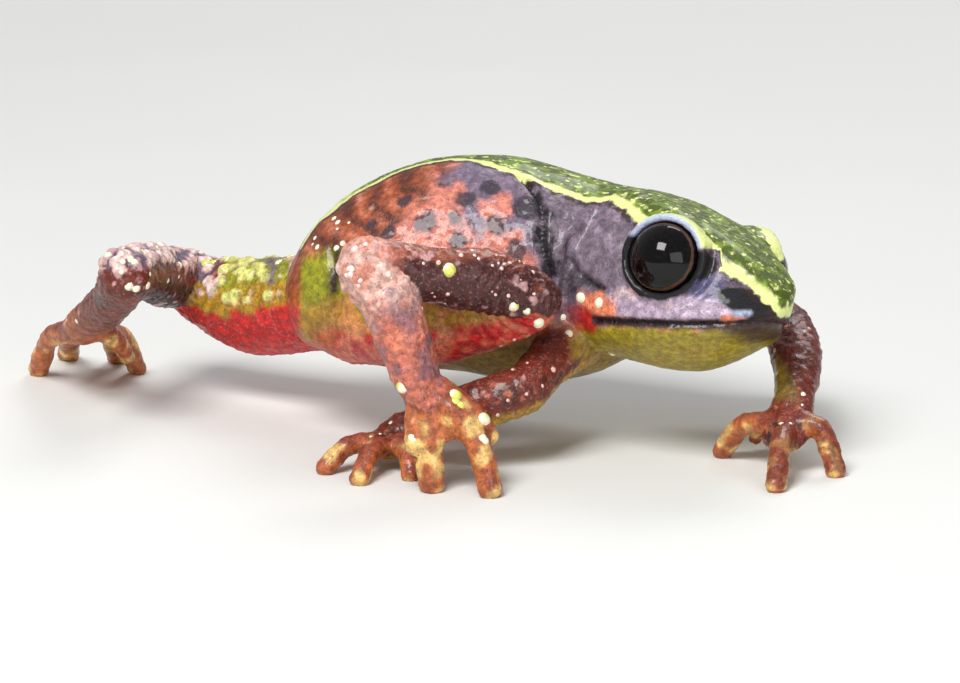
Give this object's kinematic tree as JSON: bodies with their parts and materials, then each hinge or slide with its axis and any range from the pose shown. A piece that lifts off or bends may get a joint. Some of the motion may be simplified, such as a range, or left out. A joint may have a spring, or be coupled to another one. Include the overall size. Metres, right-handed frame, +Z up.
{
  "type": "stubfoot toad",
  "caption": "Life-size still model of a stubfoot toad in mid-stride with its head turned, resting on the tips of its toes and fingers.",
  "frame": {"origin": "on the floor, under the middle of the whole animal's box", "axes": "+X from rump to head along the trunk, +Y to the animal's left, +Z up"},
  "size_m": [0.0478, 0.0328, 0.0159],
  "materials": {
    "skin_back": "wet green skin",
    "skin_side": "wet salmon-brown skin with dark spots",
    "skin_limb": "wet red-brown granular skin",
    "skin_hand": "wet orange-yellow skin",
    "eye": "polished black eye"
  },
  "bodies": {
    "root": {"head": "skin_back", "torso": "skin_side", "eye_left": "eye", "eye_right": "eye", "thigh_right": "skin_limb", "shank_right": "skin_limb", "foot_right": "skin_hand", "thigh_left": "skin_limb", "shank_left": "skin_limb", "foot_left": "skin_hand", "upper_arm_left": "skin_limb", "forearm_left": "skin_limb", "hand_left": "skin_hand", "upper_arm_right": "skin_limb", "forearm_right": "skin_limb", "hand_right": "skin_hand"}
  },
  "joints": []
}
